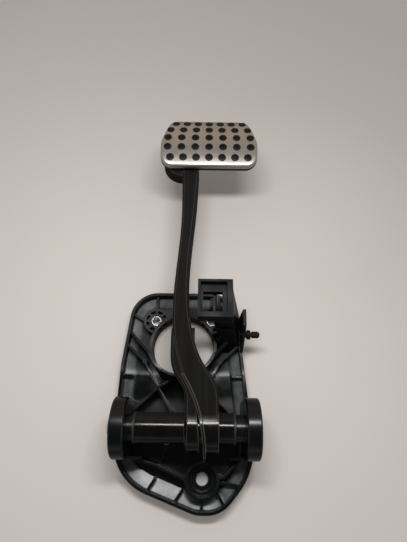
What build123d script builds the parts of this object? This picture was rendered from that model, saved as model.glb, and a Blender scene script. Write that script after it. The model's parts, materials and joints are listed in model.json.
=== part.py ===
"""Brake pedal on its bulkhead bracket, lying on the bracket's mounting face.

The origin is the middle of the booster opening, on the mounting face. X runs along the pivot,
Y runs up the lever towards the pad and Z stands off the mounting face. Sizes are in millimetres.
"""
from build123d import *
import os
from math import cos, degrees, hypot, radians, sin

# Mounting plate: a shield with a raised rim
plate_top = 60.0
plate_bottom = -156.0
top_half_width = 56.0
waist_half_width = 64.5
waist_y = -20.0
left_shoulder = (-66.5, -126.5)
right_shoulder = (74.0, -117.5)
bottom_left_x = 16.0
bottom_right_x = 40.0
top_corner_r = 30.0
waist_r = 60.0
left_shoulder_r = 52.0
right_shoulder_r = 60.0
bottom_r = 30.0
floor_t = 3.0
rim_h = 18.0
rim_t = 3.0
channel_w = 12.0
channel_h = 3.2
rib_t = 2.6
low_rib_h = 13.0
deep_rib_h = 24.0
strut_top_h = 38.0
rib_post_r = 2.6

# Where the ribs meet, as x, y on the right half; the left half mirrors them
strut_rim = (58.0, 16.5)
strut_collar = (30.0, -15.0)
side_rim = (60.0, 2.0)
side_node = (39.0, -17.0)
low_node = (24.0, -43.5)
inner_node = (9.6, -66.3)
collar_node = (8.0, -34.0)
cheek_node = (47.0, -65.0)
waist_rib = (52.0, -30.5)
boss_rib_lift = 8.0

# Booster opening and the collar round it
booster_r = 32.5
collar_t = 3.5
collar_h = 20.0
stop_wall_h = 46.0
stop_wall_y = -13.0
stop_wall_relief = 0.6

# Upper fixings for the booster's studs, and the lower insert of the same size
stud_x = 30.5
stud_y = 28.5
lower_insert_x = -13.5
lower_insert_y = -91.5
stud_bore_r = 4.2
insert_t = 1.3
boss_r = 14.0
boss_h = 15.0
spoke_ring_in = 8.2
spoke_ring_out = 11.4
spoke_ring_depth = 8.0
spoke_t = 2.4
spoke_count = 8
lower_boss_r = 9.5

# Foot fixing at the bottom of the plate
foot_x = 21.9
foot_y = -127.0
foot_hole_r = 6.1
foot_seat_t = 5.0
foot_step_r = 10.5
foot_step_z = 9.5
foot_bore_r = 14.0
foot_boss_r = 16.4
foot_boss_h = 20.0

# The wall from cheek to cheek round the foot boss, and the short ribs from it to the rim
low_wall = [(-50.0, -108.0), (-24.0, -114.0), (4.0, -126.0), (42.0, -124.0), (60.0, -108.0)]
low_ribs = [
    ((-23.0, -126.0), (-34.0, -143.0)),
    ((3.5, -136.0), (-8.5, -153.0)),
    ((foot_x, foot_y - foot_bore_r), (foot_x, plate_bottom)),
    ((37.0, -139.0), (46.5, -155.0)),
    ((38.0, -129.0), (66.0, -133.0)),
    ((lower_insert_x, lower_insert_y), (-20.0, -115.0)),
]

# Pivot, bearing cheeks and hub
pivot_y = -82.0
pivot_z = 50.0
hub_mid_x = 5.4
hub_length = 89.6
hub_r = 13.5
cheek_mid_x = 7.0
cheek_span = 106.8
cheek_w = 13.0
cheek_r = 27.0
cheek_boss_r = 12.0
cheek_chamfer = 1.2
cheek_gusset = 12.0
cheek_gusset_low = 30.0
cheek_gusset_high = 46.0
pin_r = 6.0
pin_head_r = 8.2
pin_head_t = 5.0
pin_head_chamfer = 1.2
pin_end_short = 1.0
bush_t = 1.5
bush_length = 16.0
bush_flange_t = 1.5
bush_flange_proud = 0.6
clip_r = 11.0
clip_t = 1.2
clip_recess = 4.0
running_gap = 0.05
seat_gap = 0.1
side_gap = 0.3

# Switch tower on the right of the plate
tower_top = 82.0
socket_x = (15.5, 49.5)
socket_y = (14.5, 52.5)
socket_h = 16.0
tray_x = (18.0, 44.0)
tray_y = (19.5, 50.0)
tray_depth = 8.0
window_x = (20.5, 39.7)
window_y = (21.7, 42.0)
pylon_foot_x = (45.0, 63.0)
pylon_foot_y = (-4.0, 34.0)
pylon_head_x = (30.0, 49.5)
tower_t = 2.4
flange_x = 60.5
flange_t = 3.0
flange_top = 63.0
flange_side = [
    (-6.0, floor_t / 2), (-6.0, rim_h), (6.0, 52.0), (12.0, flange_top), (28.0, flange_top),
    (34.0, floor_t / 2),
]

# Harness clip in the tower's side wall
clip_y = 8.0
clip_z = 40.0
harness_shank_r = 3.0
harness_neck = 2.2
harness_disc_r = 4.7
harness_disc_t = 3.4
harness_head_r = 3.4
harness_head_l = 9.6
harness_groove = 0.8
harness_groove_w = 1.8
harness_tip_chamfer = 1.6

# Lever
lobe_r = 22.0
lobe_step = 1.2
ridge_proud = 1.2
ridge_t = 2.4
lobe_left_x = 5.5
lobe_right_x = 36.0
arm_end_y = 200.0
arm_end_left = -4.4
arm_end_right = 14.0
arm_mid_y = 108.0
arm_mid_left = -3.4
arm_mid_right = 9.0
arm_low_y = 15.0
arm_low_left = -8.4
arm_low_right = 8.5
arm_dip = (-62.0, 70.6)
arm_dip_slope = -0.2
arm_end_slope = -0.08
arm_top_mid = 80.0
arm_top_end = 75.5
arm_under_mid = 50.0
arm_under_end = 57.5
arm_chamfer = 2.0
lobe_chamfer = 2.5
fork_under_y = -46.0
fork_turn = 40.0
parting = [(2.5, -36.5), (16.0, -63.0), (23.5, -110.0)]
fork_right = (22.0, -27.0)
fork_left = (-4.7, -36.5)
fork_overlap = (20.0, 8.0)
pushrod_r = 5.1
pushrod_z = 60.0
pushrod_boss_r = 9.0
pushrod_boss_x = (-9.5, 13.0)

# Pad
pad_mid_x = 24.9
pad_crest_y = 211.3
pad_crest_z = 90.0
pad_radius = 85.0
pad_low_y = 184.0
pad_wide_y = 214.0
pad_high_y = 252.5
pad_low_half = 53.0
pad_wide_half = 53.8
pad_high_half = 43.0
pad_low_r = 12.0
pad_wide_r = 40.0
pad_high_r = 13.0
cover_t = 1.2
cover_edge = 4.2
cover_chamfer = 1.6
rubber_t = 6.0
stud_r = 4.2
stud_proud = 0.8
peg_sides = 10
stud_gap = 0.15
stud_row_pitch = 13.0
stud_mid_row_y = 219.5
stud_pitches = (14.25, 15.3, 15.3, 14.5, 12.65)
studs_per_row = 7
carrier_t = 4.0
carrier_inset = 2.5
hood_under = 58.0
hood_roof = 68.0
hood_proud = 4.5
hood_corner_r = 23.0
hood_wall = 3.5
hood_short = 12.0
brace_inset = 20.0
pad_drop = 18.0

# Worked out from the sizes above
socket_floor_z = tower_top - socket_h
hub_left = hub_mid_x - hub_length / 2
hub_right = hub_mid_x + hub_length / 2
left_cheek = (cheek_mid_x - cheek_span / 2 - cheek_w, cheek_mid_x - cheek_span / 2)
right_cheek = (cheek_mid_x + cheek_span / 2, cheek_mid_x + cheek_span / 2 + cheek_w)
bush_r = pin_r + running_gap + bush_t
insert_r = stud_bore_r + insert_t
pad_axis_z = pad_crest_z - pad_radius
stud_turn = degrees(stud_row_pitch / pad_radius)
ridge_end_y = parting[-1][1]
tall = 300.0


def rounded(corners):
    """A flat face from corners given as x, y and radius."""
    points = [(x, y) for x, y, r in corners]
    return make_face(FilletPolyline(*points, radius=[r for x, y, r in corners], close=True))


def prism(face, low, high):
    """A face drawn on the plate's plane, standing from one height to another."""
    return Pos(0, 0, low) * extrude(face, high - low)


def block(x, y, z):
    """A box given by its two ends along each axis."""
    size = (x[1] - x[0], y[1] - y[0], z[1] - z[0])
    return Pos((x[0] + x[1]) / 2, (y[0] + y[1]) / 2, (z[0] + z[1]) / 2) * Box(*size)


def post(x, y, radius, low, high):
    """A round column on the plate."""
    return Pos(x, y, (low + high) / 2) * Cylinder(radius, high - low)


def rod(radius, left, right, y=pivot_y, z=pivot_z):
    """A cylinder along X, on the pivot unless told otherwise."""
    return Pos((left + right) / 2, y, z) * Rot(0, 90, 0) * Cylinder(radius, right - left)


def side_slab(points, left, right):
    """An outline of y, z points, spread along X."""
    face = make_face(Polyline(*points, close=True))
    return Pos(left, 0, 0) * extrude(Plane.YZ * face, right - left)


def rib(start, end, start_top, end_top=None):
    """An upright wall on the plate from one x, y point to another, with a level or sloping top."""
    run = (end[0] - start[0], end[1] - start[1])
    length = hypot(*run)
    across = Plane(
        origin=(start[0], start[1], 0),
        x_dir=(run[0], run[1], 0),
        z_dir=(run[1], -run[0], 0),
    )
    low = floor_t / 2
    top = start_top if end_top is None else end_top
    face = make_face(Polyline((0, low), (length, low), (length, top), (0, start_top), close=True))
    return extrude(across * face, rib_t / 2, both=True)


def plate_outline():
    """The shield seen from the front."""
    return rounded([
        (-top_half_width, plate_top, top_corner_r),
        (top_half_width, plate_top, top_corner_r),
        (waist_half_width, waist_y, waist_r),
        (*right_shoulder, right_shoulder_r),
        (bottom_right_x, plate_bottom, bottom_r),
        (bottom_left_x, plate_bottom, bottom_r),
        (*left_shoulder, left_shoulder_r),
        (-waist_half_width, waist_y, waist_r),
    ])


def plate_tray():
    """Floor and rim, with a sloping channel between them."""
    outline = plate_outline()
    brim = offset(outline, -rim_t)
    level = floor_t + channel_h
    slope = loft([Pos(0, 0, floor_t) * offset(brim, -channel_w), Pos(0, 0, level) * brim], ruled=True)
    return prism(outline, 0, rim_h) - slope - prism(brim, level, tall)


def stud_spokes(x, y):
    """The ring of pockets round a stud's insert, with the spokes left standing."""
    low = boss_h - spoke_ring_depth
    high = boss_h + floor_t
    ring = post(x, y, spoke_ring_out, low, high) - post(x, y, spoke_ring_in, low, high)
    for step in range(spoke_count // 2):
        turn = Rot(0, 0, 180 * step / (spoke_count // 2))
        ring -= Pos(x, y, 0) * turn * block((-boss_r, boss_r), (-spoke_t / 2, spoke_t / 2), (0, tall))
    return ring


def mirrored(point, side):
    """A point on the right half of the plate, or its mirror on the left."""
    return (side * point[0], point[1])


def plate_ribs():
    """Short ribs across the channel, and the deeper ribs inside it."""
    deep_runs = [
        (side_node, low_node), (low_node, inner_node), (collar_node, low_node), (low_node, cheek_node),
    ]
    boss_side = (stud_x + boss_r - rib_t, stud_y)
    boss_rim = (top_half_width, stud_y + boss_rib_lift)
    walls = []
    for side in (-1, 1):
        def run(start, end, *tops):
            return rib(mirrored(start, side), mirrored(end, side), *tops)

        walls += [
            run((stud_x, stud_y + boss_r - rib_t), (stud_x, plate_top), low_rib_h),
            run(boss_side, boss_rim, low_rib_h),
            run(waist_rib, (waist_half_width, waist_rib[1]), low_rib_h),
            run(strut_rim, strut_collar, rim_h, strut_top_h),
            run(side_rim, side_node, rim_h, deep_rib_h),
        ]
        walls += [run(start, end, deep_rib_h) for start, end in deep_runs]
        lower_boss = (lower_insert_x, lower_insert_y)
        walls.append(rib(mirrored(inner_node, side), lower_boss, deep_rib_h, boss_h))
        for spot in (side_node, low_node):
            walls.append(post(*mirrored(spot, side), rib_post_r, floor_t / 2, deep_rib_h))
    middle = len(low_wall) // 2 + 1
    line = low_wall[:middle] + [(foot_x, foot_y)] + low_wall[middle:]
    walls += [rib(start, end, foot_boss_h) for start, end in zip(line, line[1:])]
    walls += [rib(start, end, low_rib_h) for start, end in low_ribs]
    inset = prism(offset(plate_outline(), -rim_t / 2), 0, tall)
    return (Part() + walls) & inset


def cheek(span, outward):
    """One bearing cheek: a round-topped wall with a boss towards the hub and a gusset at its foot."""
    left, right = span
    wall = rod(cheek_r, left, right)
    wall += block(span, (pivot_y - cheek_r, pivot_y + cheek_r), (floor_t / 2, pivot_z))
    sides = [edge for x in span for edge in wall.edges().filter_by_position(Axis.X, x, x)]
    wall = chamfer([edge for edge in sides if edge.center().Z > floor_t], cheek_chamfer)
    inner = left if outward > 0 else right
    hub_face = hub_right if outward > 0 else hub_left
    boss_end = hub_face + outward * (bush_flange_t + side_gap)
    wall += rod(cheek_boss_r, *sorted((inner + outward * cheek_w / 2, boss_end)))
    foot = inner - outward * cheek_gusset
    gusset = make_face(Polyline(
        (inner + outward, floor_t / 2), (foot, floor_t / 2), (foot, cheek_gusset_low),
        (inner + outward, cheek_gusset_high), close=True,
    ))
    at = pivot_y - cheek_r + rib_t / 2
    return wall + extrude(Plane.XZ.offset(-at) * gusset, rib_t / 2, both=True)


def switch_tower():
    """The slanting pylon, the socket it carries and the flange with the harness clip."""
    socket = block(socket_x, socket_y, (socket_floor_z, tower_top))
    socket -= block(tray_x, tray_y, (tower_top - tray_depth, tall))
    socket -= block(window_x, window_y, (0, tall))
    low, high = floor_t / 2, socket_floor_z + tower_t

    def section(x, y, z, inset):
        width = x[1] - x[0] - 2 * inset
        back = socket_y[1] if inset else y[1]
        front = y[0] + inset
        middle = Pos((x[0] + x[1]) / 2, (front + back) / 2, z)
        return middle * Rectangle(width, back - front)

    def sloped(inset):
        foot = section(pylon_foot_x, pylon_foot_y, low, inset)
        return loft([foot, section(pylon_head_x, socket_y, high, inset)], ruled=True)

    pylon = (sloped(0) - sloped(tower_t)) & block((0, tall), (-tall, tall), (0, socket_floor_z))
    return socket + pylon + side_slab(flange_side, flange_x, flange_x + flange_t)


def pedal_bracket():
    """The whole moulding: plate, collar, bosses, ribs, cheeks and tower, with its bores cut last."""
    body = plate_tray() + plate_ribs()
    collar = post(0, 0, booster_r + collar_t, floor_t / 2, collar_h)
    stop_wall = post(0, 0, booster_r + collar_t, floor_t / 2, stop_wall_h)
    stop_wall &= block((-tall, tall), (-tall, stop_wall_y), (0, tall))
    body += [collar, stop_wall]
    body += [post(side * stud_x, stud_y, boss_r, floor_t / 2, boss_h) for side in (-1, 1)]
    body += post(lower_insert_x, lower_insert_y, lower_boss_r, floor_t / 2, boss_h)
    body += post(foot_x, foot_y, foot_boss_r, floor_t / 2, foot_boss_h)
    body += [cheek(left_cheek, -1), cheek(right_cheek, 1), switch_tower()]
    body -= post(0, 0, booster_r, -floor_t, collar_h)
    body -= post(0, 0, booster_r + stop_wall_relief, collar_h, stop_wall_h + floor_t)
    for x, y in ((-stud_x, stud_y), (stud_x, stud_y), (lower_insert_x, lower_insert_y)):
        body -= post(x, y, insert_r, -floor_t, boss_h + floor_t)
    body -= [stud_spokes(side * stud_x, stud_y) for side in (-1, 1)]
    body -= post(foot_x, foot_y, foot_hole_r, -floor_t, foot_boss_h)
    body -= post(foot_x, foot_y, foot_step_r, foot_seat_t, tall)
    body -= post(foot_x, foot_y, foot_bore_r, foot_step_z, tall)
    body -= rod(pin_r + running_gap, left_cheek[0] - cheek_w, right_cheek[1] + cheek_w)
    body -= rod(clip_r + side_gap, right_cheek[1] - clip_recess, right_cheek[1] + cheek_w)
    body -= rod(harness_shank_r, flange_x - flange_t, flange_x + 2 * flange_t, clip_y, clip_z)
    return body


def stud_insert(x, y):
    """A steel sleeve in its boss."""
    return post(x, y, insert_r, 0, boss_h) - post(x, y, stud_bore_r, -floor_t, boss_h + floor_t)


def pivot_pin():
    """The pin with its low head on the left and a groove for the clip on the right."""
    end = right_cheek[1] - pin_end_short
    pin = rod(pin_r, left_cheek[0], end)
    head = rod(pin_head_r, left_cheek[0] - pin_head_t, left_cheek[0])
    far = left_cheek[0] - pin_head_t
    head = chamfer(head.edges().filter_by_position(Axis.X, far, far), pin_head_chamfer)
    return pin + head


def pin_clip():
    """The push-on ring, seated on the floor of its recess."""
    seat = right_cheek[1] - clip_recess
    ring = rod(clip_r, seat, seat + clip_t) - rod(pin_r, seat - clip_t, seat + 2 * clip_t)
    return ring


def harness_clip():
    """A shank in the flange, a neck, a disc and a grooved head with a blunt tip."""
    disc = flange_x + flange_t + harness_neck
    head_start = disc + harness_disc_t
    head_end = head_start + harness_head_l
    stud = rod(harness_shank_r, flange_x - 1, disc, clip_y, clip_z)
    stud += rod(harness_disc_r, disc, head_start, clip_y, clip_z)
    head = rod(harness_head_r, head_start, head_end, clip_y, clip_z)
    head = chamfer(head.edges().filter_by_position(Axis.X, head_end, head_end), harness_tip_chamfer)
    groove = (head_start, head_start + harness_groove_w)
    head -= rod(harness_head_r + 1, *groove, clip_y, clip_z)
    return stud + head + rod(harness_head_r - harness_groove, *groove, clip_y, clip_z)


def lever_profile(drop):
    """The lever seen from the side, lowered by a step for the left lobe."""
    rest_z = stop_wall_h + side_gap
    crown = (pivot_y, pivot_z + lobe_r - drop)
    heights = [arm_dip, (arm_mid_y, arm_top_mid), (arm_end_y, arm_top_end)]
    top = Spline(
        crown, *[(y, z - drop) for y, z in heights],
        tangents=((1, arm_dip_slope), (1, arm_end_slope)),
    )
    under = Spline((arm_end_y, arm_under_end), (arm_mid_y, arm_under_mid), (0, rest_z))
    turn = radians(fork_turn)
    lobe_in = (pivot_y + lobe_r * cos(turn), pivot_z - lobe_r * sin(turn))
    low = Polyline(under @ 1, (fork_under_y, rest_z), lobe_in, (pivot_y, pivot_z), crown)
    side = make_face([top, Line(top @ 1, under @ 0), under, low])
    return Pos(-tall, 0, 0) * extrude(Plane.YZ * side, 2 * tall) + rod(lobe_r - drop, -tall, tall)


def arm_plan():
    """The arm and right lobe seen from the front, bounded by the ridge on the left of the hub."""
    left = Spline(
        (arm_end_left, arm_end_y), (arm_mid_left, arm_mid_y), (arm_low_left, arm_low_y), *parting,
        tangents=((0, -1), (0.1, -1)),
    )
    right = Spline(
        (lobe_right_x, pivot_y + lobe_r), fork_right, (arm_low_right, arm_low_y),
        (arm_mid_right, arm_mid_y), (arm_end_right, arm_end_y),
        tangents=((0, 1), (0, 1)),
    )
    foot = Polyline(left @ 1, (lobe_right_x, ridge_end_y), right @ 0)
    return make_face([left, foot, right, Line(right @ 1, left @ 0)])


def left_lobe_plan():
    """The lower left half of the hub's fork."""
    left = Spline(
        (arm_low_left, arm_low_y), fork_left, (lobe_left_x, pivot_y + lobe_r),
        tangents=((0, -1), (0, -1)),
    )
    low_x, high_x = fork_overlap
    foot = [(lobe_left_x, ridge_end_y), (low_x, ridge_end_y), (high_x, arm_low_y)]
    return make_face([left, Polyline(left @ 1, *foot, left @ 0)])


def parting_strip(left, right):
    """A strip along the parting between the lobes, seen from the front."""
    sides = [Spline(*[(x + shift, y) for x, y in parting]) for shift in (left, right)]
    return make_face([*sides, Line(sides[0] @ 0, sides[1] @ 0), Line(sides[0] @ 1, sides[1] @ 1)])


def ridge():
    """The thin bead that stands along the parting, and the flush strip beside it."""
    proud_r = (pivot_y - ridge_end_y + lobe_r + ridge_proud) / 2
    disc = rod(proud_r, -tall, tall, ridge_end_y + proud_r, pivot_z + lobe_r + ridge_proud - proud_r)
    bead = prism(parting_strip(-ridge_t / 2, ridge_t / 2), 0, tall)
    flush = prism(parting_strip(0, arm_chamfer + ridge_t / 2), 0, tall)
    return (bead & (lever_profile(-ridge_proud) + disc)) + (flush & lever_profile(0))


def pad_band(inner, outer, outline):
    """What lies between two radii about the pad's axis, within an outline seen from the front."""
    disc, hole = [rod(r, -tall, tall, pad_crest_y, pad_axis_z) for r in (outer, inner)]
    return (disc - hole) & prism(outline, pad_axis_z + carrier_t, tall)


def pad_outline(inset=0.0):
    """The pad seen from the front, or a smaller copy of it."""
    corners = []
    for side in (-1, 1):
        half = [
            (pad_mid_x + side * pad_low_half, pad_low_y, pad_low_r),
            (pad_mid_x + side * pad_wide_half, pad_wide_y, pad_wide_r),
            (pad_mid_x + side * pad_high_half, pad_high_y, pad_high_r),
        ]
        corners += half if side < 0 else half[::-1]
    face = rounded(corners)
    return offset(face, -inset) if inset else face


def stud_places():
    """Turn about the pad's axis and x for every stud."""
    middle = degrees((stud_mid_row_y - pad_crest_y) / pad_radius)
    rows = len(stud_pitches)
    for row, pitch in enumerate(stud_pitches):
        turn = middle + (row - (rows - 1) / 2) * stud_turn
        for column in range(studs_per_row):
            yield turn, pad_mid_x + (column - (studs_per_row - 1) / 2) * pitch


def pad_pegs(radius, inner, outer):
    """Short pegs square to the pad's face, one for each stud."""
    pegs = []
    for turn, x in stud_places():
        stand = Pos(x, pad_crest_y, pad_axis_z) * Rot(-turn, 0, 0)
        pegs.append(stand * Pos(0, 0, inner) * extrude(RegularPolygon(radius, peg_sides), outer - inner))
    return pegs


def pad_flats(radius):
    """All that lies below flat strips across the pad, one for each row of studs, inside a radius."""
    turns = sorted({turn for turn, x in stud_places()})
    marks = [turns[0] + stud_turn * (step - 1.5) for step in range(len(turns) + 3)]
    turned = [radians(mark) for mark in marks]
    rim = [(pad_crest_y + radius * sin(t), pad_axis_z + radius * cos(t)) for t in turned]
    return side_slab([(pad_crest_y, pad_axis_z), *rim], -tall, tall)


def outermost(edge, radius):
    """Whether an edge lies on a given radius about the pad's axis."""
    spots = [edge @ t for t in (0.0, 0.35, 1.0)]
    return all(abs(hypot(p.Y - pad_crest_y, p.Z - pad_axis_z) - radius) < 0.01 for p in spots)


def pad_cover():
    """The pressed steel cover: a bent sheet with a turned-down edge and a hole for each stud."""
    shell = pad_band(pad_radius - cover_edge, pad_radius, pad_outline())
    shell = chamfer([edge for edge in shell.edges() if outermost(edge, pad_radius)], cover_chamfer)
    hollow = prism(pad_outline(cover_t), 0, tall) & pad_flats(pad_radius - cover_t)
    holes = pad_pegs(stud_r + stud_gap, pad_radius - 2 * cover_edge, pad_radius + cover_edge)
    return (shell & pad_flats(pad_radius)) - hollow - holes


def pad_rubber():
    """The rubber under the cover, with a stud through each hole."""
    top = pad_radius - cover_t - seat_gap
    below = rod(top - rubber_t, -tall, tall, pad_crest_y, pad_axis_z)
    plug = prism(pad_outline(cover_t + cover_chamfer), pad_axis_z, tall) & pad_flats(top)
    skirt = pad_band(top - rubber_t, pad_radius - cover_edge - seat_gap, pad_outline())
    return plug - below + skirt + pad_pegs(stud_r, top - cover_t, pad_radius + stud_proud)


def hood_outline(inset=0.0):
    """The lever's head seen from the front, from the pad's left end to the arm."""
    left = pad_mid_x - pad_wide_half + carrier_inset
    face = rounded([
        (left, pad_low_y - hood_proud, hood_corner_r),
        (arm_end_right, pad_low_y - hood_proud, hood_wall),
        (arm_end_right, pad_high_y - hood_short, hood_wall),
        (left, pad_high_y - hood_short, hood_corner_r),
    ])
    return offset(face, -inset) if inset else face


def pad_carrier():
    """The lever's head: a curved plate under the rubber, a hood on the left and two gussets."""
    top = pad_radius - cover_t - 2 * seat_gap - rubber_t
    reach = rod(top - carrier_t / 2, -tall, tall, pad_crest_y, pad_axis_z)
    hood = prism(hood_outline(), hood_under, pad_crest_z) - prism(hood_outline(hood_wall), 0, hood_roof)
    right = pad_mid_x + pad_wide_half - carrier_inset - hood_wall
    brace = make_face(Polyline(
        (arm_end_right - hood_wall / 2, hood_under), (right, pad_crest_z - pad_drop),
        (right, pad_crest_z), (arm_end_right - hood_wall / 2, pad_crest_z), close=True,
    ))
    braces = [
        extrude(Plane.XZ.offset(-y) * brace, hood_wall / 2, both=True)
        for y in (pad_low_y + brace_inset, pad_high_y - brace_inset)
    ]
    plate = pad_band(top - carrier_t, top, pad_outline(carrier_inset))
    return plate + ((hood + braces) & reach)


def pedal_lever():
    """Hub tube, lobes, arm and pad carrier in one moulding."""
    arm = prism(arm_plan(), 0, tall) & lever_profile(0)
    long_edges = [edge for edge in arm.edges() if edge.length > arm_end_y]
    arm = chamfer([edge for edge in long_edges if edge.center().Z > pushrod_z], arm_chamfer)
    lobe = prism(left_lobe_plan(), 0, tall) & lever_profile(lobe_step)
    curves = [edge for edge in lobe.edges() if edge.geom_type != GeomType.LINE]
    boxes = [(edge, edge.bounding_box().max) for edge in curves]
    rim = [edge for edge, top in boxes if top.X < lobe_left_x + side_gap and top.Z > pushrod_z]
    lever = arm + chamfer(rim, lobe_chamfer) + ridge() + pad_carrier()
    lever += [rod(hub_r, hub_left, hub_right), rod(pushrod_boss_r, *pushrod_boss_x, 0, pushrod_z)]
    lever -= rod(bush_r, hub_left - hub_r, hub_right + hub_r)
    return lever - rod(pushrod_r, -tall, tall, 0, pushrod_z)


def hub_bush(end, outward):
    """A flanged bush pressed into one end of the hub."""
    sleeve = rod(bush_r, *sorted((end - outward * bush_length, end)))
    flange = rod(hub_r + bush_flange_proud, *sorted((end, end + outward * bush_flange_t)))
    return sleeve + flange - rod(pin_r + running_gap, end - bush_length - 1, end + bush_length + 1)


pieces = {
    "pedal_bracket": pedal_bracket(),
    "stud_insert_left": stud_insert(-stud_x, stud_y),
    "stud_insert_right": stud_insert(stud_x, stud_y),
    "lower_insert": stud_insert(lower_insert_x, lower_insert_y),
    "pivot_pin": pivot_pin(),
    "pin_clip": pin_clip(),
    "harness_clip": harness_clip(),
    "pedal_lever": pedal_lever(),
    "hub_bush_left": hub_bush(hub_left, -1),
    "hub_bush_right": hub_bush(hub_right, 1),
    "pad_rubber": pad_rubber(),
    "pad_cover": pad_cover(),
}

os.makedirs("parts", exist_ok=True)
for name, piece in pieces.items():
    export_step(piece, f"parts/{name}.step")
    print(name, len(piece.solids()), round(piece.volume))
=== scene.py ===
# %% [markdown]
# # A car's brake pedal
# The solids come in as a fixed frame: a black bracket that bolts to the bulkhead, and the lever that
# swings on it with its studded pad. This lesson dresses them. Everything is in metres, X runs along the
# pivot, Y up the lever to the pad, and Z stands off the mounting face, which lies on the floor.

# %% Load the frame
import json
from functools import partial
from math import atan2, cos, pi, radians, sin, sqrt, tan

import bmesh
import bpy
from mathutils import Matrix, Vector


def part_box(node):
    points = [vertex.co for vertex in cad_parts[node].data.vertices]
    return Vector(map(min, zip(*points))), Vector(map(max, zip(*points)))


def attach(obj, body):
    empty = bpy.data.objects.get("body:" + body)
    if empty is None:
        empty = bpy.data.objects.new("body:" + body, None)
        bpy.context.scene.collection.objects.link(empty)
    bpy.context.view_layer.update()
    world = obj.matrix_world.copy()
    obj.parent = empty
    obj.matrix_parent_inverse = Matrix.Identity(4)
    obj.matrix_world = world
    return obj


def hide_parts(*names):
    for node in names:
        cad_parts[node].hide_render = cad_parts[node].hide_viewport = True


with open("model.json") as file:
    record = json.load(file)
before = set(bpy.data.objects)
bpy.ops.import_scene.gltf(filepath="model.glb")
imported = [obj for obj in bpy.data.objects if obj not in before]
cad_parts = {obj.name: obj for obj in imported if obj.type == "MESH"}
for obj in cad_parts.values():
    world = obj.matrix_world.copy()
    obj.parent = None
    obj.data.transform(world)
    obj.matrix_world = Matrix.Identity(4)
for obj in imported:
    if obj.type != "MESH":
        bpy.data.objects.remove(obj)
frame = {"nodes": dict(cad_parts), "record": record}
nodes = frame["nodes"]
mounts = {mount["name"]: mount for mount in frame["record"]["mounts"]}
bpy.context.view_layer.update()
scene = bpy.context.scene
scene.view_settings.view_transform = "Standard"
MM = 0.001
print("nodes:", sorted(nodes))

# %% [markdown]
# ## Camera
# The photograph looks down on the pedal, tipped a little from the plate's normal. The camera is set by its
# place, its tilt and a small roll, and its lens by the focal length in pixels of a 407 by 542 picture.

# %% Camera
IMAGE_WIDTH = 407
FOCAL_PIXELS = 400.0
CAMERA_PLACE = Vector((20.6, -92.6, 443.0)) * MM
CAMERA_TILT = radians(23.0)
CAMERA_ROLL = radians(0.8)
CAMERA_NEAR = 10 * MM

camera_data = bpy.data.cameras.new("camera")
camera_data.sensor_fit = "HORIZONTAL"
camera_data.lens = camera_data.sensor_width * FOCAL_PIXELS / IMAGE_WIDTH
camera_data.clip_start = CAMERA_NEAR
camera = bpy.data.objects.new("camera", camera_data)
camera.matrix_world = (
    Matrix.Translation(CAMERA_PLACE)
    @ Matrix.Rotation(CAMERA_TILT, 4, "X")
    @ Matrix.Rotation(CAMERA_ROLL, 4, "Z")
)
scene.collection.objects.link(camera)
scene.camera = camera
print("lens:", round(camera_data.lens, 2), "mm")

# %% [markdown]
# ## Node helpers
# Each finish is one Principled shader with textures that read Object coordinates, so a pattern stays put
# when a part moves. Small helpers keep the node code short: each adds one node and gives its output back.

# %% Node helpers
def new_material(name, **sockets):
    """A material with a Principled shader whose plain values are set on its own sockets."""
    material = bpy.data.materials.new(name)
    material.use_nodes = True
    shader = material.node_tree.nodes["Principled BSDF"]
    for socket, value in sockets.items():
        shader.inputs[socket.replace("_", " ")].default_value = value
    return material, material.node_tree, shader


def feed(tree, socket, value):
    """A socket gets a node's output or a plain value."""
    if isinstance(value, bpy.types.NodeSocket):
        tree.links.new(value, socket)
    else:
        socket.default_value = value


def calculate(tree, operation, *values):
    """One step of arithmetic."""
    node = tree.nodes.new("ShaderNodeMath")
    node.operation = operation
    for socket, value in zip(node.inputs, values):
        feed(tree, socket, value)
    return node.outputs[0]


def product(tree, first, *others):
    """Several values multiplied together."""
    for other in others:
        first = calculate(tree, "MULTIPLY", first, other)
    return first


def ramp(tree, value, low, high, ends=(0.0, 1.0)):
    """A value that goes from low to high while its source goes from one end to the other."""
    node = tree.nodes.new("ShaderNodeMapRange")
    settings = {"From Min": ends[0], "From Max": ends[1], "To Min": low, "To Max": high}
    for socket, setting in settings.items():
        node.inputs[socket].default_value = setting
    tree.links.new(value, node.inputs["Value"])
    return node.outputs["Result"]


def mix_colours(tree, share, low, high):
    """One colour turning into another as the share grows. Each is three numbers or a node's output."""
    node = tree.nodes.new("ShaderNodeMix")
    node.data_type = "RGBA"
    factor, first, second = node.inputs[0], node.inputs[6], node.inputs[7]
    tree.links.new(share, factor)
    for socket, colour in ((first, low), (second, high)):
        feed(tree, socket, (*colour, 1) if isinstance(colour, tuple) else colour)
    return node.outputs[2]


# %% [markdown]
# ## Places and textures
# These say where a point lies: along an axis, away from a place, or within a noise. The noise can be
# stretched along the axes, which turns its blots into streaks or brush lines.

# %% Places and textures
EVEN = (1, 1, 1)


def place_along(tree, axis, space="Object"):
    """How far along an axis a point lies."""
    where = tree.nodes.new("ShaderNodeTexCoord")
    parts = tree.nodes.new("ShaderNodeSeparateXYZ")
    tree.links.new(where.outputs[space], parts.inputs["Vector"])
    return parts.outputs[axis]


def distance_from(tree, place):
    """How far a point of the object lies from a place."""
    where = tree.nodes.new("ShaderNodeTexCoord")
    gap = tree.nodes.new("ShaderNodeVectorMath")
    gap.operation = "DISTANCE"
    gap.inputs[1].default_value = place
    tree.links.new(where.outputs["Object"], gap.inputs[0])
    return gap.outputs["Value"]


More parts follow.
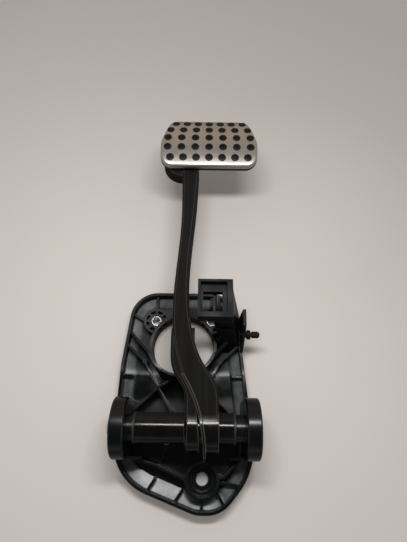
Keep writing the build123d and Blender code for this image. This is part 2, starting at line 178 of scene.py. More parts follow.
def noise(tree, scale, stretch=EVEN, **sockets):
    """A noise on Object coordinates, stretched along the axes."""
    where = tree.nodes.new("ShaderNodeTexCoord")
    mapping = tree.nodes.new("ShaderNodeMapping")
    mapping.inputs["Scale"].default_value = stretch
    texture = tree.nodes.new("ShaderNodeTexNoise")
    texture.inputs["Scale"].default_value = scale
    for socket, value in sockets.items():
        texture.inputs[socket].default_value = value
    tree.links.new(where.outputs["Object"], mapping.inputs["Vector"])
    tree.links.new(mapping.outputs["Vector"], texture.inputs["Vector"])
    return texture.outputs[0]


# %% [markdown]
# ## Relief
# Grain and brush lines are far too fine to model, so they are bump. The mouldings' edges are bump as well:
# the solids have them sharp, and a rounded normal lets them catch the light as real edges do.

# %% Relief
BEVEL_SAMPLES = 6


def rounded_normal(tree, radius):
    """The normal that the surface would have with its edges rounded."""
    node = tree.nodes.new("ShaderNodeBevel")
    node.samples = BEVEL_SAMPLES
    node.inputs["Radius"].default_value = radius
    return node.outputs["Normal"]


def bump(tree, shader, height, strength, distance, edge=0.0):
    """Fine relief from a texture, over edges that may be rounded."""
    node = tree.nodes.new("ShaderNodeBump")
    node.inputs["Strength"].default_value = strength
    node.inputs["Distance"].default_value = distance
    tree.links.new(height, node.inputs["Height"])
    if edge:
        tree.links.new(rounded_normal(tree, edge), node.inputs["Normal"])
    tree.links.new(node.outputs["Normal"], shader.inputs["Normal"])


# %% [markdown]
# ## Moulded plastics and rubber
# Bracket and lever are glass-filled nylon, and the pad, bushes and loom clip are softer mouldings. All have
# a faint grain, and patches where the mould polished them. Noise drives both colour and roughness, since a
# single flat black looks like a hole in the picture. The lever's patches are drawn out up its arm into
# streaks, whose lighter colour is partly random tone and partly painted sheen along the arm.

# %% Moulded plastics and rubber
PATCH_SCALE = 45.0
PATCH_ENDS = (0.3, 0.7)
GRAIN_STRENGTH = 0.35
# Stretch of the lever's streaks: in roughness they are real polish, in colour partly painted sheen.
ARM_STREAKS_OF_POLISH_AND_PAINTED_SHEEN = (6, 0.2, 2)


def moulded_plastic(name, dark, light, rough, grain_scale, grain_depth, gloss, edge=0.0, flow=EVEN):
    """A dark moulding, patchy in colour and polish, with a fine grain."""
    material, tree, shader = new_material(name, IOR=1.5, Specular_IOR_Level=gloss)
    patches = noise(tree, PATCH_SCALE, flow, Detail=4.0)
    grain = noise(tree, grain_scale, Detail=3.0)
    tree.links.new(mix_colours(tree, patches, dark, light), shader.inputs["Base Color"])
    tree.links.new(ramp(tree, patches, *rough, ends=PATCH_ENDS), shader.inputs["Roughness"])
    bump(tree, shader, grain, GRAIN_STRENGTH, grain_depth, edge)
    return material


bracket_nylon = moulded_plastic(
    "bracket_nylon", dark=(0.0015, 0.0017, 0.0019), light=(0.004, 0.0044, 0.0048), rough=(0.2, 0.28),
    grain_scale=1400.0, grain_depth=0.015 * MM, gloss=0.3, edge=0.7 * MM,
)
# The lever's lighter streaks are partly random tone and partly painted sheen along its arm.
lever_nylon = moulded_plastic(
    "lever_nylon", dark=(0.001, 0.0009, 0.0008), light=(0.006, 0.005, 0.0043), rough=(0.12, 0.18),
    grain_scale=900.0, grain_depth=0.01 * MM, gloss=0.25, edge=1.2 * MM, flow=ARM_STREAKS_OF_POLISH_AND_PAINTED_SHEEN,
)
bush_plastic = moulded_plastic(
    "bush_plastic", dark=(0.012, 0.012, 0.012), light=(0.02, 0.02, 0.02), rough=(0.4, 0.5),
    grain_scale=1500.0, grain_depth=0.02 * MM, gloss=0.3,
)
clip_plastic = moulded_plastic(
    "clip_plastic", dark=(0.004, 0.002, 0.002), light=(0.009, 0.0045, 0.0045), rough=(0.5, 0.65),
    grain_scale=1200.0, grain_depth=0.04 * MM, gloss=0.15,
)
pad_black = moulded_plastic(
    "pad_rubber", dark=(0.002, 0.0016, 0.0014), light=(0.006, 0.005, 0.0042), rough=(0.4, 0.55),
    grain_scale=1100.0, grain_depth=0.05 * MM, gloss=0.22,
)
print("mouldings:", [m.name for m in (bracket_nylon, lever_nylon, bush_plastic, clip_plastic, pad_black)])

# %% [markdown]
# ## Polish that changes along the part
# The plate is shiny between cheeks and collar and dull from the collar up, as is the tower's head. The lever
# is shiny round its hub and matt up the arm. One function adds to the roughness past a place along Y. It
# works on what is linked already, so changes can be laid one over another.

# %% Polish that changes along the part
STREAK_ENDS = (0.35, 0.65)
ZONE_FADE = 4 * MM
FAR = 1.0
ANY_HEIGHT = (-FAR, FAR)


def change_along(material, ends, extra, flow=EVEN, heights=ANY_HEIGHT):
    """Roughness that changes between two places along Y, by an amount that differs from streak to streak."""
    tree = material.node_tree
    rough = tree.nodes["Principled BSDF"].inputs["Roughness"]
    height = place_along(tree, "Z")
    low, high = heights
    change = product(
        tree,
        ramp(tree, noise(tree, PATCH_SCALE, flow, Detail=2.0), *extra, ends=STREAK_ENDS),
        ramp(tree, place_along(tree, "Y"), 0, 1, ends),
        ramp(tree, height, 0, 1, (low - ZONE_FADE, low)),
        ramp(tree, height, 1, 0, (high, high + ZONE_FADE)),
    )
    tree.links.new(calculate(tree, "ADD", rough.links[0].from_socket, change), rough)


PAST_CHEEKS = (-58 * MM, -48 * MM)
FROM_STOP_WALL = (-29 * MM, -21 * MM)
PAST_BOOSTER_MIDDLE = (2 * MM, 14 * MM)
ABOVE_PIVOT = (-77 * MM, -71 * MM)
LOW_PARTS = (-FAR, 52 * MM)    # takes in the stop wall
TOWER_HEAD = (60 * MM, FAR)

change_along(bracket_nylon, PAST_CHEEKS, (-0.15, -0.13))
change_along(bracket_nylon, FROM_STOP_WALL, (0.35, 0.5), heights=LOW_PARTS)
change_along(bracket_nylon, PAST_BOOSTER_MIDDLE, (0.5, 0.65), heights=TOWER_HEAD)
change_along(lever_nylon, ABOVE_PIVOT, (0.72, 0.86), flow=ARM_STREAKS_OF_POLISH_AND_PAINTED_SHEEN)
print("roughness sums:", [
    len([node for node in material.node_tree.nodes if node.type == "MATH" and node.operation == "ADD"])
    for material in (bracket_nylon, lever_nylon)
])

# %% [markdown]
# ## Smoother edges with painted highlights, and dust
# Edges are rubbed smoother by years of shoes and cleaning, and are painted lighter as a painted highlight
# where light would catch them. Dust lies in the bracket's shallow channels. An edge is where the rounded
# normal leaves the face's own. Dust lies on faces that look up, between two heights.

# %% Smoother edges with painted highlights, and dust
EDGE_ENDS = (0.8, 0.98)
UPWARD_ENDS = (0.3, 0.8)
DUST_SCALE = 160.0


def smoother_edges_with_painted_highlight(material, width, polish, colour):
    """Edges rubbed smoother, and painted lighter as a painted highlight."""
    tree = material.node_tree
    shader = tree.nodes["Principled BSDF"]
    rough, base = shader.inputs["Roughness"], shader.inputs["Base Color"]
    face = tree.nodes.new("ShaderNodeNewGeometry")
    agree = tree.nodes.new("ShaderNodeVectorMath")
    agree.operation = "DOT_PRODUCT"
    tree.links.new(rounded_normal(tree, width), agree.inputs[0])
    tree.links.new(face.outputs["Normal"], agree.inputs[1])
    smoother = ramp(tree, agree.outputs["Value"], -polish, 0, EDGE_ENDS)
    # Painted highlight: the edge colour is mixed in where the rounded normal leaves the face's own.
    painted_edge_highlight = ramp(tree, agree.outputs["Value"], 1, 0, EDGE_ENDS)
    tree.links.new(calculate(tree, "ADD", rough.links[0].from_socket, smoother), rough)
    tree.links.new(mix_colours(tree, painted_edge_highlight, base.links[0].from_socket, colour), base)


def dust_between(material, low, high, fade, colour, clear_of, clear_r):
    """Patchy pale dust between two heights, but not round one place."""
    tree = material.node_tree
    base = tree.nodes["Principled BSDF"].inputs["Base Color"]
    face = tree.nodes.new("ShaderNodeNewGeometry")
    parts = tree.nodes.new("ShaderNodeSeparateXYZ")
    tree.links.new(face.outputs["Normal"], parts.inputs["Vector"])
    height = place_along(tree, "Z")
    share = product(
        tree,
        noise(tree, DUST_SCALE, Detail=5.0),
        ramp(tree, height, 0, 1, (low, low + fade)),
        ramp(tree, height, 1, 0, (high - fade, high)),
        ramp(tree, distance_from(tree, clear_of), 0, 1, (clear_r, clear_r + fade)),
        ramp(tree, parts.outputs["Z"], 0, 1, UPWARD_ENDS),
    )
    tree.links.new(mix_colours(tree, share, base.links[0].from_socket, colour), base)


# The lighter edge colours below are painted highlights, on bracket and lever alike.
smoother_edges_with_painted_highlight(bracket_nylon, width=0.8 * MM, polish=0.0, colour=(0.02, 0.022, 0.022))
smoother_edges_with_painted_highlight(lever_nylon, width=1.5 * MM, polish=0.55, colour=(0.1, 0.088, 0.07))
dust_between(
    bracket_nylon, low=3.2 * MM, high=7.5 * MM, fade=1.0 * MM, colour=(0.15, 0.161, 0.161),
    clear_of=mounts["foot_fixing"]["pos_m"], clear_r=16 * MM,
)
print("bracket nodes:", len(bracket_nylon.node_tree.nodes), "lever nodes:", len(lever_nylon.node_tree.nodes))

# %% [markdown]
# ## Metals
# The cover is brushed stainless: its scratches run across the pad, so the noise is squeezed along X into
# long lines. The sleeves and the pin are bright zinc plate, a little cloudy.

# %% Metals
CLOUD_SCALE = 60.0
LINE_ENDS = (0.3, 0.7)
LINE_STRENGTH = 0.25


def brushed_metal(name, dark, light, rough, stretch, scale, depth):
    """A metal with cloudy colour and fine lines."""
    material, tree, shader = new_material(name, Metallic=1.0)
    lines = noise(tree, scale, stretch, Detail=6.0, Roughness=0.65)
    clouds = noise(tree, CLOUD_SCALE, Detail=2.0)
    tree.links.new(mix_colours(tree, clouds, dark, light), shader.inputs["Base Color"])
    tree.links.new(ramp(tree, lines, *rough, ends=LINE_ENDS), shader.inputs["Roughness"])
    bump(tree, shader, lines, LINE_STRENGTH, depth)
    return material


cover_steel = brushed_metal(
    "cover_steel", dark=(0.44, 0.39, 0.345), light=(0.6, 0.555, 0.51), rough=(0.28, 0.42),
    stretch=(0.06, 1, 1), scale=1500.0, depth=0.02 * MM,
)
plated_steel = brushed_metal(
    "plated_steel", dark=(0.66, 0.67, 0.66), light=(0.8, 0.8, 0.78), rough=(0.2, 0.34),
    stretch=EVEN, scale=500.0, depth=0.01 * MM,
)

FINISHES = {
    "bracket_nylon": bracket_nylon, "lever_nylon": lever_nylon, "plated_steel": plated_steel,
    "clip_plastic": clip_plastic, "bush_plastic": bush_plastic, "pad_rubber": pad_black,
    "cover_steel": cover_steel,
}
for subpart in frame["record"]["subparts"]:
    mesh = nodes[subpart["node"]].data
    mesh.materials.clear()
    mesh.materials.append(FINISHES[subpart["material_slot"]])
    print(subpart["node"], "gets", subpart["material_slot"])

# %% [markdown]
# ## The pad's outline
# Cover and rubber share one outline: a rounded shape that narrows towards its upper edge. A loop of points
# with a fixed count is drawn for any inset, so that loops at different depths join up point by point.

# %% The pad's outline
pad_low, pad_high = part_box("pad_cover")
PAD_MID_X = (pad_low.x + pad_high.x) / 2
PAD_CREST_Y = 211.3 * MM
PAD_RADIUS = 85.0 * MM
PAD_AXIS_Z = 5.0 * MM
WIDE_Y = 214.0 * MM
LOW_HALF, WIDE_HALF, HIGH_HALF = 53.0 * MM, 53.8 * MM, 43.0 * MM
LOW_R, WIDE_R, HIGH_R = 12.0 * MM, 40.0 * MM, 13.0 * MM
ARC_STEPS = 12
EDGE_STEPS = 10
PAD_CORNERS = [
    (Vector((PAD_MID_X - LOW_HALF, pad_low.y)), LOW_R),
    (Vector((PAD_MID_X + LOW_HALF, pad_low.y)), LOW_R),
    (Vector((PAD_MID_X + WIDE_HALF, WIDE_Y)), WIDE_R),
    (Vector((PAD_MID_X + HIGH_HALF, pad_high.y)), HIGH_R),
    (Vector((PAD_MID_X - HIGH_HALF, pad_high.y)), HIGH_R),
    (Vector((PAD_MID_X - WIDE_HALF, WIDE_Y)), WIDE_R),
]


def pad_loop(inset):
    """Points round the pad, counter-clockwise, moved in by a distance."""
    arcs = []
    count = len(PAD_CORNERS)
    for i, (corner, radius) in enumerate(PAD_CORNERS):
        into = (corner - PAD_CORNERS[i - 1][0]).normalized()
        out = (PAD_CORNERS[(i + 1) % count][0] - corner).normalized()
        side, next_side = Vector((-into.y, into.x)), Vector((-out.y, out.x))
        spot = corner + (side + next_side) * inset / (1 + side.dot(next_side))
        turn = atan2(into.x * out.y - into.y * out.x, into.dot(out))
        bend = radius - inset
        centre = spot - into * bend * tan(turn / 2) + side * bend
        start = atan2(-side.y, -side.x)
        angles = [start + turn * step / ARC_STEPS for step in range(ARC_STEPS + 1)]
        arcs.append([centre + Vector((cos(a), sin(a))) * bend for a in angles])
    loop = []
    for i, arc in enumerate(arcs):
        target = arcs[(i + 1) % count][0]
        loop += arc
        loop += [arc[-1].lerp(target, step / EDGE_STEPS) for step in range(1, EDGE_STEPS)]
    return loop


def on_pad(point, drop):
    """A point of the outline, set at a depth below the pad's curved face."""
    reach = PAD_RADIUS - drop
    return (point.x, point.y, PAD_AXIS_Z + sqrt(reach ** 2 - (point.y - PAD_CREST_Y) ** 2))


print("points round the pad:", len(pad_loop(0)))

# %% [markdown]
# ## Closed shells from loops
# A pressed cover is a stack of loops: up the outside of the turned-down edge, round the roll, in across the
# face, and back along the inner side. Quads join each loop to the next, and a fan closes each face.

# %% Closed shells from loops
FACE_STEPS = 14
ROLL_STEPS = 6


def face_rings(inset, drop):
    """Loops that shrink towards the middle of the pad, on its curved face."""
    loop = pad_loop(inset)
    middle = Vector((PAD_MID_X, (pad_low.y + pad_high.y) / 2))
    shares = [1 - step / FACE_STEPS for step in range(FACE_STEPS)]
    rings = [[on_pad(middle.lerp(p, share), drop) for p in loop] for share in shares]
    return rings, on_pad(middle, drop)


def side_rings(profile):
    """One loop for each inset and drop of a profile."""
    return [[on_pad(p, drop) for p in pad_loop(inset)] for inset, drop in profile]


def roll(radius, inset, drop):
    """Inset and drop round a quarter turn, from the upright edge to the face."""
    turns = [pi / 2 * step / ROLL_STEPS for step in range(ROLL_STEPS)]
    return [(inset + radius * (1 - cos(t)), drop + radius * (1 - sin(t))) for t in turns]


def finished_mesh(name, shape):
    """A mesh from a bmesh, with its faces turned outwards."""
    bmesh.ops.recalc_face_normals(shape, faces=shape.faces)
    mesh = bpy.data.meshes.new(name)
    shape.to_mesh(mesh)
    shape.free()
    return mesh


def shell_mesh(name, sides, top_face, bottom_face):
    """A closed mesh: loops from the bottom face up the side to the top face."""
    top_rings, top_middle = top_face
    low_rings, low_middle = bottom_face
    shape = bmesh.new()
    made = [[shape.verts.new(p) for p in ring] for ring in low_rings[::-1] + sides + top_rings]
    for lower, upper in zip(made, made[1:]):
        for i in range(len(lower)):
            shape.faces.new((lower[i - 1], lower[i], upper[i], upper[i - 1]))
    for ring, middle in ((made[-1], top_middle), (made[0], low_middle)):
        hub = shape.verts.new(middle)
        for i in range(len(ring)):
            shape.faces.new((ring[i - 1], ring[i], hub))
    return finished_mesh(name, shape)


# %% [markdown]
# ## Objects
# A mesh becomes an object at the origin, smooth apart from its sharp edges. A finished piece is then attached
# to the body it rides on, and the frame's node that it takes the place of is hidden.

# %% Objects
SHARP_ANGLE = radians(40)


def add_object(name, mesh, material):
    """A mesh as an object in the scene."""
    mesh.materials.clear()
    mesh.materials.append(material)
    mesh.shade_smooth()
    mesh.set_sharp_from_angle(angle=SHARP_ANGLE)
    piece = bpy.data.objects.new(name, mesh)
    scene.collection.objects.link(piece)
    return piece


def evaluated_mesh(piece):
    """What an object looks like after its modifiers, as a plain mesh."""
    graph = bpy.context.evaluated_depsgraph_get()
    return bpy.data.meshes.new_from_object(piece.evaluated_get(graph))


# %% [markdown]
# ## Where the studs stand
# Five rows of seven studs follow the curve of the face. The rows spread with the outline, so each row has
# its own pitch. The points carry the turn of their row, which the node trees below read.

# %% Where the studs stand
STUD_PITCHES = [pitch * MM for pitch in (14.25, 15.3, 15.3, 14.5, 12.65)]
STUDS_PER_ROW = 7
ROW_PITCH = 13.0 * MM
MIDDLE_ROW_Y = 219.5 * MM
ROW_TURN = ROW_PITCH / PAD_RADIUS
MIDDLE_ROW_TURN = (MIDDLE_ROW_Y - PAD_CREST_Y) / PAD_RADIUS


def stud_points(depth):
    """A mesh of points under the pad's face, with each row's turn as an attribute."""
    places, turns = [], []
    reach = PAD_RADIUS - depth
    for row, pitch in enumerate(STUD_PITCHES):
        turn = MIDDLE_ROW_TURN + (row - (len(STUD_PITCHES) - 1) / 2) * ROW_TURN
        for column in range(STUDS_PER_ROW):
            x = PAD_MID_X + (column - (STUDS_PER_ROW - 1) / 2) * pitch
            places.append((x, PAD_CREST_Y + reach * sin(turn), PAD_AXIS_Z + reach * cos(turn)))
            turns.append(-turn)
    mesh = bpy.data.meshes.new("stud_points")
    mesh.from_pydata(places, [], [])
    mesh.attributes.new("row_turn", "FLOAT", "POINT").data.foreach_set("value", turns)
    return mesh


print("studs:", len(STUD_PITCHES) * STUDS_PER_ROW)

# %% [markdown]
# ## The shape of a post
# A moulded stud is a short post with a rounded edge and a dimple in a flat ring. It is drawn from a filled
# circle, step by step: each step raises the top face and sets its radius. A plain post cuts the holes.

# %% The shape of a post
STUD_R = 4.2 * MM
STUD_GAP = 0.2 * MM
STUD_PROUD = 0.8 * MM
STUD_HEIGHT = 3.0 * MM
STUD_SIDES = 24
EDGE_SHARE = 0.7
DIMPLE_SHARE = 0.7
STUD_INPUTS = {
    "Radius": STUD_R, "Height": STUD_HEIGHT, "Edge": 0.5 * MM, "Ring": 2.1 * MM, "Dimple": 0.9 * MM,
}


def rubber_stud(tree, sizes):
    """Up the side, round the edge, across to the ring and down into the dimple."""
    maths = partial(calculate, tree)
    shoulder = maths("SUBTRACT", sizes["Height"], sizes["Edge"])
    edge = maths("MULTIPLY", sizes["Edge"], EDGE_SHARE)
    last = maths("SUBTRACT", sizes["Edge"], edge)
    flat = maths("MULTIPLY", sizes["Edge"], 0.0)
    return [
        (shoulder, sizes["Radius"]),
        (edge, maths("SUBTRACT", sizes["Radius"], last)),
        (last, maths("SUBTRACT", sizes["Radius"], sizes["Edge"])),
        (flat, sizes["Ring"]),
        (maths("MULTIPLY", sizes["Dimple"], -1), maths("MULTIPLY", sizes["Ring"], DIMPLE_SHARE)),
    ]


def plain_post(tree, sizes):
    """A straight post, for cutting holes."""
    return [(sizes["Height"], sizes["Radius"])]


def drawn_post(tree, sizes, steps):
    """A filled circle drawn up through the steps, each a rise and the radius that it ends with."""
    link = tree.links.new
    circle = tree.nodes.new("GeometryNodeMeshCircle")
    circle.fill_type = "NGON"
    circle.inputs["Vertices"].default_value = STUD_SIDES
    link(sizes["Radius"], circle.inputs["Radius"])
    shape, top, width = circle.outputs["Mesh"], None, sizes["Radius"]
    for rise, target in steps:
        draw = tree.nodes.new("GeometryNodeExtrudeMesh")
        draw.inputs["Individual"].default_value = False
        link(shape, draw.inputs["Mesh"])
        link(rise, draw.inputs["Offset Scale"])
        if top is not None:
            link(top, draw.inputs["Selection"])
        narrow = tree.nodes.new("GeometryNodeScaleElements")
        link(draw.outputs["Mesh"], narrow.inputs["Geometry"])
        link(draw.outputs["Top"], narrow.inputs["Selection"])
        link(calculate(tree, "DIVIDE", target, width), narrow.inputs["Scale"])
        shape, top, width = narrow.outputs["Geometry"], draw.outputs["Top"], target
    return shape


print("stud sizes in mm:", {label: round(value / MM, 2) for label, value in STUD_INPUTS.items()})

# %% [markdown]
# ## A node tree for studs
# One tree sets the post on every point and tips it by its row's turn. The repeats could be copied objects,
# but a tree keeps the sizes as named inputs, and the same points serve both studs and holes.

# %% A node tree for studs
def stud_tree(name, profile):
    """A node group that sets a post of the given profile on each point."""
    tree = bpy.data.node_groups.new(name, "GeometryNodeTree")
    link, new_socket = tree.links.new, tree.interface.new_socket
    new_socket("Points", in_out="INPUT", socket_type="NodeSocketGeometry")
    for label, value in STUD_INPUTS.items():
        new_socket(label, in_out="INPUT", socket_type="NodeSocketFloat").default_value = value
    new_socket("Finish", in_out="INPUT", socket_type="NodeSocketMaterial")
    new_socket("Studs", in_out="OUTPUT", socket_type="NodeSocketGeometry")
    inside = tree.nodes.new("NodeGroupInput")
    outside = tree.nodes.new("NodeGroupOutput")
    sizes = inside.outputs
    turn = tree.nodes.new("GeometryNodeInputNamedAttribute")
    turn.inputs["Name"].default_value = "row_turn"
    tip = tree.nodes.new("ShaderNodeCombineXYZ")
    spread = tree.nodes.new("GeometryNodeInstanceOnPoints")
    real = tree.nodes.new("GeometryNodeRealizeInstances")
    finish = tree.nodes.new("GeometryNodeSetMaterial")
    link(turn.outputs["Attribute"], tip.inputs["X"])
    link(sizes["Points"], spread.inputs["Points"])
    link(drawn_post(tree, sizes, profile(tree, sizes)), spread.inputs["Instance"])
    link(tip.outputs["Vector"], spread.inputs["Rotation"])
    link(spread.outputs["Instances"], real.inputs["Geometry"])
    link(real.outputs["Geometry"], finish.inputs["Geometry"])
    link(sizes["Finish"], finish.inputs["Material"])
    link(finish.outputs["Geometry"], outside.inputs["Studs"])
    return tree


def grow_studs(name, tree, depth, finish, **sizes):
    """The tree's posts on the pad's points, as a plain mesh."""
    seed = bpy.data.objects.new(name, stud_points(depth))
    scene.collection.objects.link(seed)
    modifier = seed.modifiers.new("studs", "NODES")
    modifier.node_group = tree
    for item in tree.interface.items_tree:
        if item.in_out == "INPUT" and item.name in sizes:
            modifier[item.identifier] = sizes[item.name]
        if item.in_out == "INPUT" and item.name == "Finish":
            modifier[item.identifier] = finish
    mesh = evaluated_mesh(seed)
    seed.modifiers.remove(modifier)
    bpy.data.objects.remove(seed)
    return mesh


# %% [markdown]
# ## The pad's cover
# The cover is pressed from one sheet: a curved face, a rolled edge, and a hole for each stud. It is one
# shell here. The holes are cut with posts from the same tree, so that holes and studs can't drift apart.

# %% The pad's cover
COVER_T = 1.2 * MM
COVER_EDGE = 4.2 * MM
COVER_EDGE_R = 2.6 * MM
CUTTER_HEIGHT = 6 * MM

outer_profile = [(0, COVER_EDGE)] + roll(COVER_EDGE_R, 0, 0)
inner_profile = [(COVER_T, COVER_EDGE)] + roll(COVER_EDGE_R - COVER_T, COVER_T, COVER_T)
sheet_mesh = shell_mesh(
    "cover_sheet", side_rings(inner_profile[::-1] + outer_profile),
    face_rings(COVER_EDGE_R, 0), face_rings(COVER_EDGE_R, COVER_T),
)
cutter_mesh = grow_studs(
    "hole_cutter", stud_tree("hole_posts", plain_post), CUTTER_HEIGHT / 2, cover_steel,
    Radius=STUD_R + STUD_GAP, Height=CUTTER_HEIGHT,
)
sheet = add_object("cover_sheet", sheet_mesh, cover_steel)
cutter = add_object("hole_cutter", cutter_mesh, cover_steel)
cut = sheet.modifiers.new("holes", "BOOLEAN")
cut.operation = "DIFFERENCE"
cut.solver = "EXACT"
cut.object = cutter
cover_mesh = evaluated_mesh(sheet)
for spare in (sheet, cutter):
    bpy.data.objects.remove(spare)
cover = add_object("pad_cover_sheet", cover_mesh, cover_steel)
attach(cover, "lever")
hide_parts("pad_cover")
print("cover faces:", len(cover.data.polygons))

# %% [markdown]
# ## The pad's rubber
# Under the cover lies a rubber pad with a lip that shows below the steel, and its studs come up through the
# holes. Pad and studs are one moulding, so they share one mesh.

# %% The pad's rubber
RUBBER_T = 6.0 * MM
SEAT_GAP = 0.1 * MM
LIP_ROUND = 0.8 * MM
LIP_STEP = 0.3 * LIP_ROUND

rubber_top = COVER_T + SEAT_GAP
rubber_base = rubber_top + RUBBER_T
plug_inset = COVER_T + COVER_EDGE_R
lip_drop = COVER_EDGE + SEAT_GAP
rubber_profile = [
    (LIP_STEP, rubber_base - LIP_STEP), (0, rubber_base - LIP_ROUND), (0, lip_drop), (plug_inset, lip_drop),
]
rubber_mesh = shell_mesh(
    "pad_rubber_moulding", side_rings(rubber_profile),
    face_rings(plug_inset, rubber_top), face_rings(LIP_ROUND, rubber_base),
)
stud_mesh = grow_studs(
    "studs", stud_tree("rubber_studs", rubber_stud), STUD_HEIGHT - STUD_PROUD, pad_black, Height=STUD_HEIGHT,
)
joined = bmesh.new()
for mesh in (rubber_mesh, stud_mesh):
    joined.from_mesh(mesh)
joined.to_mesh(rubber_mesh)
joined.free()
rubber = add_object("pad_rubber_moulding", rubber_mesh, pad_black)
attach(rubber, "lever")
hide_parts("pad_rubber")
print("rubber faces:", len(rubber.data.polygons))

# %% [markdown]
# ## Steel sleeves
# Each fixing boss has a steel sleeve, turned from bar: a tube with its end edges broken. The frame's mesh is
# coarse on so small a part, so the tube is spun again, with its sizes taken from the frame's box and record.

# %% Steel sleeves
SLEEVE_SIDES = 48
SLEEVE_EDGE = 0.5 * MM
STUD_BORE = mounts["booster_studs"]["dims"]["hole_r_mm"] * MM
LOWER_BORE = mounts["lower_fixing"]["dims"]["r_mm"] * MM


def turned_sleeve(name, node, bore):
    """A tube with broken edges, in the place of a node."""
    low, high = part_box(node)
    middle = (low + high) / 2
    outer = (high.x - low.x) / 2
    section = [
        (bore, low.z + SLEEVE_EDGE), (bore + SLEEVE_EDGE, low.z), (outer - SLEEVE_EDGE, low.z),
        (outer, low.z + SLEEVE_EDGE), (outer, high.z - SLEEVE_EDGE), (outer - SLEEVE_EDGE, high.z),
        (bore + SLEEVE_EDGE, high.z), (bore, high.z - SLEEVE_EDGE),
    ]
    shape = bmesh.new()
    rings = []
    for side in range(SLEEVE_SIDES):
        turn = 2 * pi * side / SLEEVE_SIDES
        places = [(middle.x + r * cos(turn), middle.y + r * sin(turn), z) for r, z in section]
        rings.append([shape.verts.new(place) for place in places])
    for side in range(SLEEVE_SIDES):
        before, here = rings[side - 1], rings[side]
        for i in range(len(section)):
            shape.faces.new((before[i - 1], before[i], here[i], here[i - 1]))
    sleeve = add_object(name, finished_mesh(name, shape), plated_steel)
    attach(sleeve, "bracket")
    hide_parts(node)
    print(name, "outer radius", round(outer / MM, 2), "mm, bore radius", round(bore / MM, 2), "mm")


turned_sleeve("stud_sleeve_left", "stud_insert_left", STUD_BORE)
turned_sleeve("stud_sleeve_right", "stud_insert_right", STUD_BORE)
turned_sleeve("lower_sleeve", "lower_insert", LOWER_BORE)

# %% [markdown]
# ## Floor
# The pedal lies on a pale floor, with painted shade that makes it a little darker beside the pad. The
# photograph has deeper blacks than a plain view, so the black plastic mirrors a dimmer floor than the camera
# sees.

# %% Floor
FLOOR_DROP = 0.3 * MM
FLOOR_REACH = 4.0
# The first colour is painted shade on the floor; the second is the floor's own colour.
FLOOR_PAINTED_SHADE = (0.54, 0.497, 0.463)
FLOOR_PALE = (0.69, 0.635, 0.595)
FLOOR_MIRRORED = (0.27, 0.25, 0.235)
PAINTED_SHADE_PLACE = (0.15, 0.23, 0)
PAINTED_SHADE_ENDS = (0.15, 0.5)

floor_mesh = bpy.data.meshes.new("floor")
floor_corners = [(-1, -1), (1, -1), (1, 1), (-1, 1)]
floor_mesh.from_pydata(
    [(x * FLOOR_REACH, y * FLOOR_REACH, -FLOOR_DROP) for x, y in floor_corners], [], [(0, 1, 2, 3)],
)
floor = bpy.data.objects.new("floor", floor_mesh)
floor_paint, floor_tree, floor_shader = new_material("floor_paint", Roughness=0.6)
# Painted shade: the floor is coloured darker round one place beside the pad and pales outwards.
painted_shade_fade = ramp(floor_tree, distance_from(floor_tree, PAINTED_SHADE_PLACE), 0, 1, PAINTED_SHADE_ENDS)
floor_with_painted_shade = mix_colours(floor_tree, painted_shade_fade, FLOOR_PAINTED_SHADE, FLOOR_PALE)
floor_ray = floor_tree.nodes.new("ShaderNodeLightPath")
floor_colour = mix_colours(floor_tree, floor_ray.outputs["Is Glossy Ray"], floor_with_painted_shade, FLOOR_MIRRORED)
floor_tree.links.new(floor_colour, floor_shader.inputs["Base Color"])
floor_mesh.materials.append(floor_paint)
scene.collection.objects.link(floor)
print("floor lies", round(FLOOR_DROP / MM, 2), "mm under the plate")

# %% [markdown]
# ## Lamp
# The thin bright lines along the hub and over the cheeks show one long, narrow lamp overhead, such as a tube
# or an LED bar. An area lamp of that shape, facing straight down, draws the lines and the soft shadows.

# %% Lamp
LAMP_PLACE = (0.03, 0.087, 0.491)
LAMP_LENGTH, LAMP_WIDTH = 0.26, 0.05
LAMP_POWER = 1.85

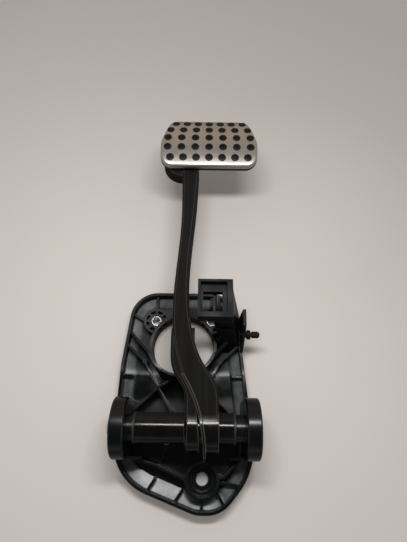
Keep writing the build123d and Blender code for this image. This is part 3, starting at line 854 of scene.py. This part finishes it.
lamp_data = bpy.data.lights.new("bar", "AREA")
lamp_data.shape = "RECTANGLE"
lamp_data.size, lamp_data.size_y = LAMP_LENGTH, LAMP_WIDTH
lamp_data.energy = LAMP_POWER
lamp = bpy.data.objects.new("bar", lamp_data)
lamp.location = LAMP_PLACE
scene.collection.objects.link(lamp)
print("lamp:", LAMP_LENGTH, "by", LAMP_WIDTH, "m,", LAMP_POWER, "W")

# %% [markdown]
# ## The room
# The room lights the floor evenly. What the glossy plastic mirrors is another matter: overhead stand the
# dark camera and whoever holds it, so reflections find light only low down, warm ahead and cool at the sides.

# %% The room
ROOM_LIGHT = 0.44
ROOM_COLOUR = (1.0, 0.985, 0.97, 1)
OVERHEAD = (0.08, 0.08, 0.085)
AHEAD = (0.5, 0.43, 0.38)
SIDES = (0.42, 0.5, 0.52)
SIDE_ENDS, LOW_ENDS, AHEAD_ENDS = (0.3, 0.8), (0.1, 0.45), (0.25, 0.7)

world = bpy.data.worlds.new("room")
scene.world = world
world.use_nodes = True
room = world.node_tree
even = room.nodes["Background"]
even.inputs["Color"].default_value = ROOM_COLOUR
even.inputs["Strength"].default_value = ROOM_LIGHT
sideways = calculate(room, "ABSOLUTE", place_along(room, "X", "Generated"))
side_share = ramp(room, sideways, 0, 1, SIDE_ENDS)
low_share = ramp(room, place_along(room, "Z", "Generated"), 1, 0, LOW_ENDS)
ahead_share = ramp(room, place_along(room, "Y", "Generated"), 0, 1, AHEAD_ENDS)
side_colour = mix_colours(room, calculate(room, "MAXIMUM", side_share, low_share), OVERHEAD, SIDES)
reflected = room.nodes.new("ShaderNodeBackground")
ray = room.nodes.new("ShaderNodeLightPath")
choice = room.nodes.new("ShaderNodeMixShader")
room.links.new(mix_colours(room, ahead_share, side_colour, AHEAD), reflected.inputs["Color"])
room.links.new(ray.outputs["Is Glossy Ray"], choice.inputs["Fac"])
room.links.new(even.outputs["Background"], choice.inputs[1])
room.links.new(reflected.outputs["Background"], choice.inputs[2])
room.links.new(choice.outputs["Shader"], room.nodes["World Output"].inputs["Surface"])
print("room light:", ROOM_LIGHT)
